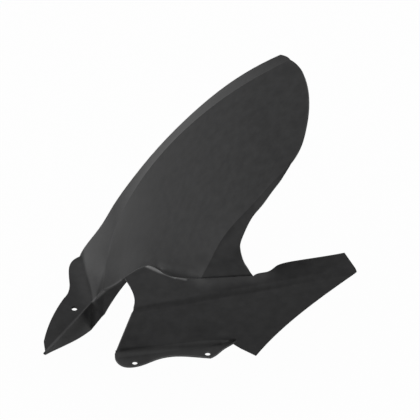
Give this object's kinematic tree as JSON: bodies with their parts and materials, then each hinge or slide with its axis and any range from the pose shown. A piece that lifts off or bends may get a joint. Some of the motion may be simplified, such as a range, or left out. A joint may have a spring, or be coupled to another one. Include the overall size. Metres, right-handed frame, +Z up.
{
  "type": "motorcycle rear fender",
  "caption": "Rear wheel hugger moulded as one shell: a curved crown over the tyre, a flat bolt tab in front, and a ledge that folds into a chain guard with a drilled foot.",
  "frame": {"origin": "centre of the front bolt hole, on the top face of its tab", "axes": "+X rearward along the machine, +Y to its right, +Z up along the front bolt"},
  "size_m": [0.3053, 0.2433, 0.2872],
  "materials": {
    "black_plastic": "black moulded plastic with a satin sheen"
  },
  "bodies": {
    "root": {"rear_fender": "black_plastic"}
  },
  "joints": []
}
